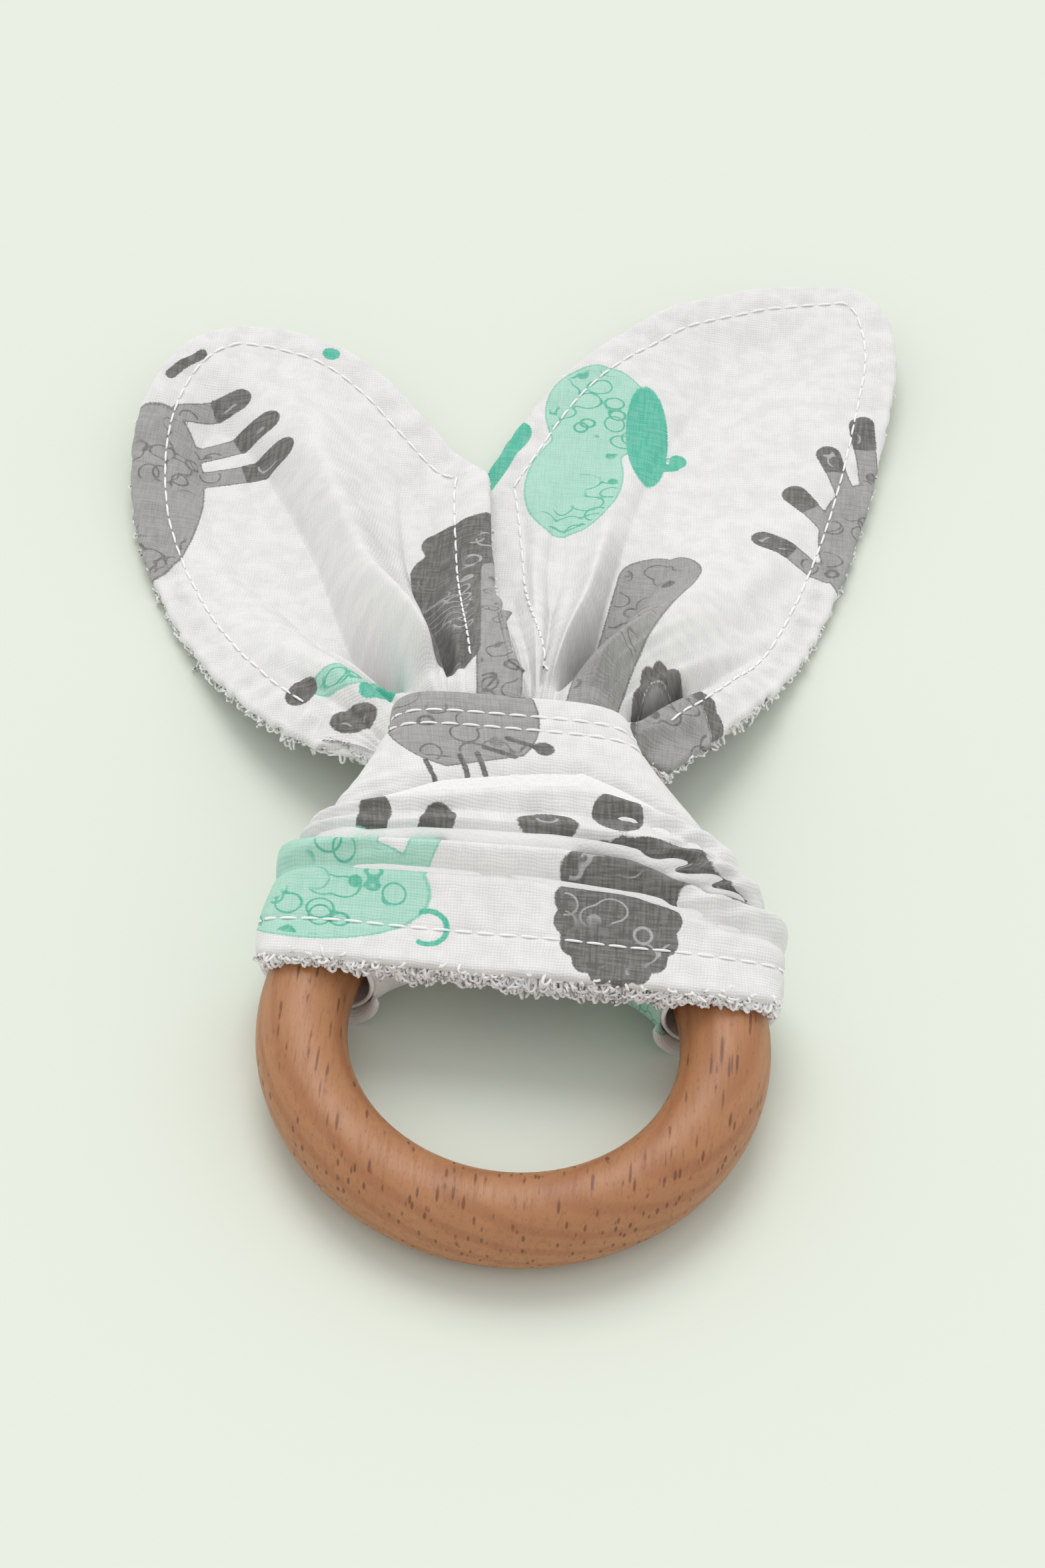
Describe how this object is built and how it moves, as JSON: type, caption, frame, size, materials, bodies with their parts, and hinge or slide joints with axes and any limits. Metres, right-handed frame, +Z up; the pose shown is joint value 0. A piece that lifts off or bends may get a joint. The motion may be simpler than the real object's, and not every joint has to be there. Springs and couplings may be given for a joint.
{
  "type": "fabric-eared teething ring",
  "caption": "Wooden teething ring with a printed cotton and terry strip hitched on it, its ends spread as two soft ears.",
  "frame": {"origin": "centre of the wooden ring", "axes": "+Z up, away from the table that the part lies on; +Y from the ring towards the ears; +X to the right seen from above with the ears pointing away"},
  "size_m": [0.1254, 0.2099, 0.0241],
  "materials": {
    "beech": "sanded and oiled, satin",
    "printed_cotton": "plain weave with a grey and mint print",
    "terry": "looped towelling",
    "thread": "spun sewing thread"
  },
  "bodies": {
    "knot": {"band_cotton": "printed_cotton", "band_terry": "terry", "band_topstitch": "thread", "closing_stitch": "thread", "left_wrap_cotton": "printed_cotton", "left_wrap_terry": "terry", "right_wrap_cotton": "printed_cotton", "right_wrap_terry": "terry", "left_leg_cotton": "printed_cotton", "left_leg_terry": "terry", "right_leg_cotton": "printed_cotton", "right_leg_terry": "terry"},
    "ring": {"wooden_ring": "beech"},
    "left_ear": {"left_ear_cotton": "printed_cotton", "left_ear_terry": "terry", "left_ear_topstitch": "thread"},
    "right_ear": {"right_ear_cotton": "printed_cotton", "right_ear_terry": "terry", "right_ear_topstitch": "thread"}
  },
  "joints": [
    {"name": "ring_turn", "type": "hinge", "parent": "knot", "child": "ring", "pos_m": [0, 0, 0], "axis": [0, -0.0647, 0.9979], "continuous": true},
    {"name": "left_ear_fold", "type": "hinge", "parent": "knot", "child": "left_ear", "pos_m": [-0.0128, 0.055, 0.007], "axis": [1, 0, 0], "range_deg": [0, 100]},
    {"name": "right_ear_fold", "type": "hinge", "parent": "knot", "child": "right_ear", "pos_m": [0.0032, 0.055, 0.007], "axis": [1, 0, 0], "range_deg": [0, 100]}
  ]
}
